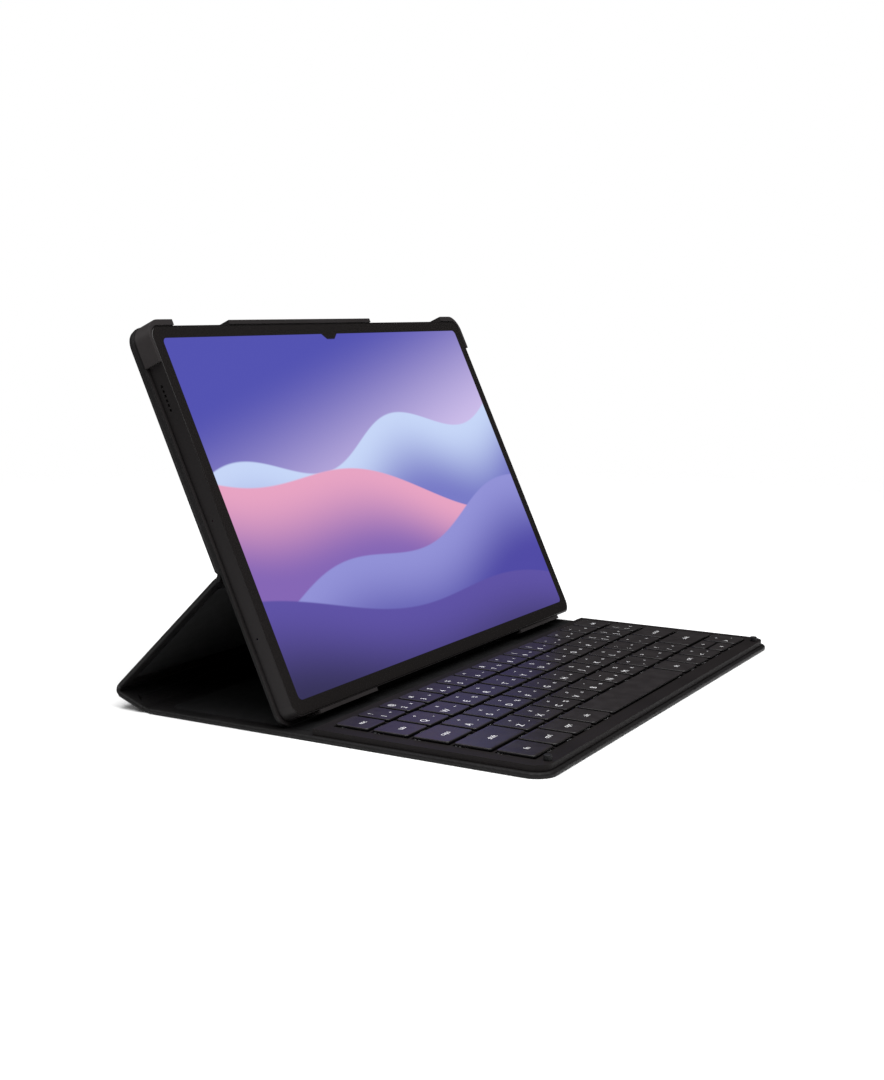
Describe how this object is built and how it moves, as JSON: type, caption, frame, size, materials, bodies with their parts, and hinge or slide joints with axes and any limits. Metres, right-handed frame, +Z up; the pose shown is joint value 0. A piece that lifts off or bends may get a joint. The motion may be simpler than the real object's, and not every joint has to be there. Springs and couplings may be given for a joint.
{
  "type": "tablet keyboard case",
  "caption": "Black folio case standing in its typing position: hard tray with corner caps holding a tablet, folding back, and a thin keyboard on the base panel",
  "frame": {"origin": "on the table, under the middle of the whole footprint", "axes": "+X to the typist's right, +Y away from the typist, +Z up"},
  "size_m": [0.2876, 0.2168, 0.1757],
  "materials": {
    "outer_skin": "fine-grained black polyurethane leather",
    "fold_skin": "soft creased black polyurethane leather",
    "microfibre": "short-nap black microfibre",
    "stiff_board": "grey fibre board",
    "deck_plastic": "finely textured black moulding",
    "key_plastic": "satin dark grey key caps",
    "silicone": "translucent grey silicone",
    "circuit_film": "printed polyester film",
    "battery_foil": "laminated foil pouch",
    "circuit_board": "green solder mask",
    "port_metal": "plated steel",
    "light_pipe": "frosted light pipe",
    "switch_plastic": "moulded black",
    "screw_metal": "blackened steel",
    "magnet_metal": "nickel plated magnets",
    "bumper_rubber": "soft black rubber",
    "tray_plastic": "hard black tray with a fine mould texture",
    "steel_strip": "black coated steel",
    "tablet_metal": "bead-blasted dark grey",
    "tablet_glass": "cover glass with a black border",
    "display_panel": "lit display",
    "lens_glass": "dark coated lens",
    "speaker_plastic": "moulded black"
  },
  "bodies": {
    "base": {"base_cover": "outer_skin", "base_board": "stiff_board", "base_lining": "microfibre", "base_fold_strip": "fold_skin", "stand_magnets": "magnet_metal", "keyboard_bottom_plate": "deck_plastic", "keyboard_deck": "deck_plastic", "key_circuit_sheet": "circuit_film", "key_dome_sheet": "silicone", "keyboard_battery": "battery_foil", "controller_board": "circuit_board", "charge_port": "port_metal", "status_leds": "light_pipe", "deck_screws": "screw_metal", "case_bumpers": "bumper_rubber"},
    "spine": {"spine_cover": "outer_skin", "spine_board": "stiff_board", "spine_lining": "microfibre", "rear_fold_strip": "fold_skin"},
    "lower_back": {"lower_back_cover": "outer_skin", "lower_back_board": "stiff_board", "lower_back_lining": "microfibre", "panel_magnets": "magnet_metal", "mid_fold_strip": "fold_skin"},
    "tray": {"upper_back_cover": "outer_skin", "upper_back_board": "stiff_board", "tray_shell": "tray_plastic", "tray_lining": "microfibre", "foot_steel_strip": "steel_strip"},
    "tablet": {"tablet_housing": "tablet_metal", "tablet_glass": "tablet_glass", "tablet_display": "display_panel", "front_camera": "lens_glass", "tablet_battery": "battery_foil", "tablet_logic_board": "circuit_board", "tablet_speakers": "speaker_plastic", "rear_camera_plate": "tablet_metal", "rear_camera_lenses": "lens_glass"},
    "power_button": {"tablet_power_button": "tablet_metal"},
    "volume_button": {"tablet_volume_button": "tablet_metal"},
    "switch_knob": {"power_switch": "switch_plastic"},
    "number_keys": {"number_keys": "key_plastic"},
    "upper_letter_keys": {"upper_letter_keys": "key_plastic"},
    "home_letter_keys": {"home_letter_keys": "key_plastic"},
    "lower_letter_keys": {"lower_letter_keys": "key_plastic"},
    "escape_key": {"escape_key": "key_plastic"},
    "backspace_key": {"backspace_key": "key_plastic"},
    "tab_key": {"tab_key": "key_plastic"},
    "caps_lock_key": {"caps_lock_key": "key_plastic"},
    "enter_key": {"enter_key": "key_plastic"},
    "left_shift_key": {"left_shift_key": "key_plastic"},
    "right_shift_key": {"right_shift_key": "key_plastic"},
    "modifier_keys": {"modifier_keys": "key_plastic"},
    "space_bar": {"space_bar": "key_plastic"},
    "right_modifier_keys": {"right_modifier_keys": "key_plastic"},
    "left_arrow_key": {"left_arrow_key": "key_plastic"},
    "up_arrow_key": {"up_arrow_key": "key_plastic"},
    "down_arrow_key": {"down_arrow_key": "key_plastic"},
    "right_arrow_key": {"right_arrow_key": "key_plastic"}
  },
  "joints": [
    {"name": "rear_fold", "type": "hinge", "parent": "spine", "child": "lower_back", "pos_m": [0, 0.10748, 0.00788], "axis": [1, 0, 0], "range_deg": [-114.7, 0]},
    {"name": "first_fold", "type": "hinge", "parent": "base", "child": "spine", "pos_m": [0, 0.0901, 0.00125], "axis": [1, 0, 0], "range_deg": [-20.9, 0]},
    {"name": "middle_fold", "type": "hinge", "parent": "lower_back", "child": "tray", "pos_m": [0, 0.04803, 0.0661], "axis": [1, 0, 0], "range_deg": [0, 70.7]},
    {"name": "tablet_lift_out", "type": "slide", "parent": "tray", "child": "tablet", "axis": [0, -0.9056, 0.4242], "range_m": [0, 0.025]},
    {"name": "power_button_press", "type": "slide", "parent": "tablet", "child": "power_button", "axis": [0, -0.4242, -0.9056], "range_m": [0, 0.0003], "stiffness_N_per_m": 1500},
    {"name": "volume_button_press", "type": "slide", "parent": "tablet", "child": "volume_button", "axis": [0, -0.4242, -0.9056], "range_m": [0, 0.0003], "stiffness_N_per_m": 1500},
    {"name": "power_switch_slide", "type": "slide", "parent": "base", "child": "switch_knob", "axis": [0, 1, 0], "range_m": [0, 0.002]},
    {"name": "number_keys_press", "type": "slide", "parent": "base", "child": "number_keys", "axis": [0, 0, -1], "range_m": [0, 0.001], "stiffness_N_per_m": 6500},
    {"name": "upper_letter_keys_press", "type": "slide", "parent": "base", "child": "upper_letter_keys", "axis": [0, 0, -1], "range_m": [0, 0.001], "stiffness_N_per_m": 6500},
    {"name": "home_letter_keys_press", "type": "slide", "parent": "base", "child": "home_letter_keys", "axis": [0, 0, -1], "range_m": [0, 0.001], "stiffness_N_per_m": 5500},
    {"name": "lower_letter_keys_press", "type": "slide", "parent": "base", "child": "lower_letter_keys", "axis": [0, 0, -1], "range_m": [0, 0.001], "stiffness_N_per_m": 5000},
    {"name": "escape_key_press", "type": "slide", "parent": "base", "child": "escape_key", "axis": [0, 0, -1], "range_m": [0, 0.001], "stiffness_N_per_m": 500},
    {"name": "backspace_key_press", "type": "slide", "parent": "base", "child": "backspace_key", "axis": [0, 0, -1], "range_m": [0, 0.001], "stiffness_N_per_m": 500},
    {"name": "tab_key_press", "type": "slide", "parent": "base", "child": "tab_key", "axis": [0, 0, -1], "range_m": [0, 0.001], "stiffness_N_per_m": 500},
    {"name": "caps_lock_key_press", "type": "slide", "parent": "base", "child": "caps_lock_key", "axis": [0, 0, -1], "range_m": [0, 0.001], "stiffness_N_per_m": 500},
    {"name": "enter_key_press", "type": "slide", "parent": "base", "child": "enter_key", "axis": [0, 0, -1], "range_m": [0, 0.001], "stiffness_N_per_m": 500},
    {"name": "left_shift_key_press", "type": "slide", "parent": "base", "child": "left_shift_key", "axis": [0, 0, -1], "range_m": [0, 0.001], "stiffness_N_per_m": 500},
    {"name": "right_shift_key_press", "type": "slide", "parent": "base", "child": "right_shift_key", "axis": [0, 0, -1], "range_m": [0, 0.001], "stiffness_N_per_m": 500},
    {"name": "modifier_keys_press", "type": "slide", "parent": "base", "child": "modifier_keys", "axis": [0, 0, -1], "range_m": [0, 0.001], "stiffness_N_per_m": 2000},
    {"name": "space_bar_press", "type": "slide", "parent": "base", "child": "space_bar", "axis": [0, 0, -1], "range_m": [0, 0.001], "stiffness_N_per_m": 500},
    {"name": "right_modifier_keys_press", "type": "slide", "parent": "base", "child": "right_modifier_keys", "axis": [0, 0, -1], "range_m": [0, 0.001], "stiffness_N_per_m": 1000},
    {"name": "left_arrow_key_press", "type": "slide", "parent": "base", "child": "left_arrow_key", "axis": [0, 0, -1], "range_m": [0, 0.001], "stiffness_N_per_m": 500},
    {"name": "up_arrow_key_press", "type": "slide", "parent": "base", "child": "up_arrow_key", "axis": [0, 0, -1], "range_m": [0, 0.001], "stiffness_N_per_m": 500},
    {"name": "down_arrow_key_press", "type": "slide", "parent": "base", "child": "down_arrow_key", "axis": [0, 0, -1], "range_m": [0, 0.001], "stiffness_N_per_m": 500},
    {"name": "right_arrow_key_press", "type": "slide", "parent": "base", "child": "right_arrow_key", "axis": [0, 0, -1], "range_m": [0, 0.001], "stiffness_N_per_m": 500}
  ],
  "couplings": [
    {"joint": "first_fold", "follows": "rear_fold", "ratio": 0.1822},
    {"joint": "middle_fold", "follows": "rear_fold", "ratio": -0.6163}
  ]
}
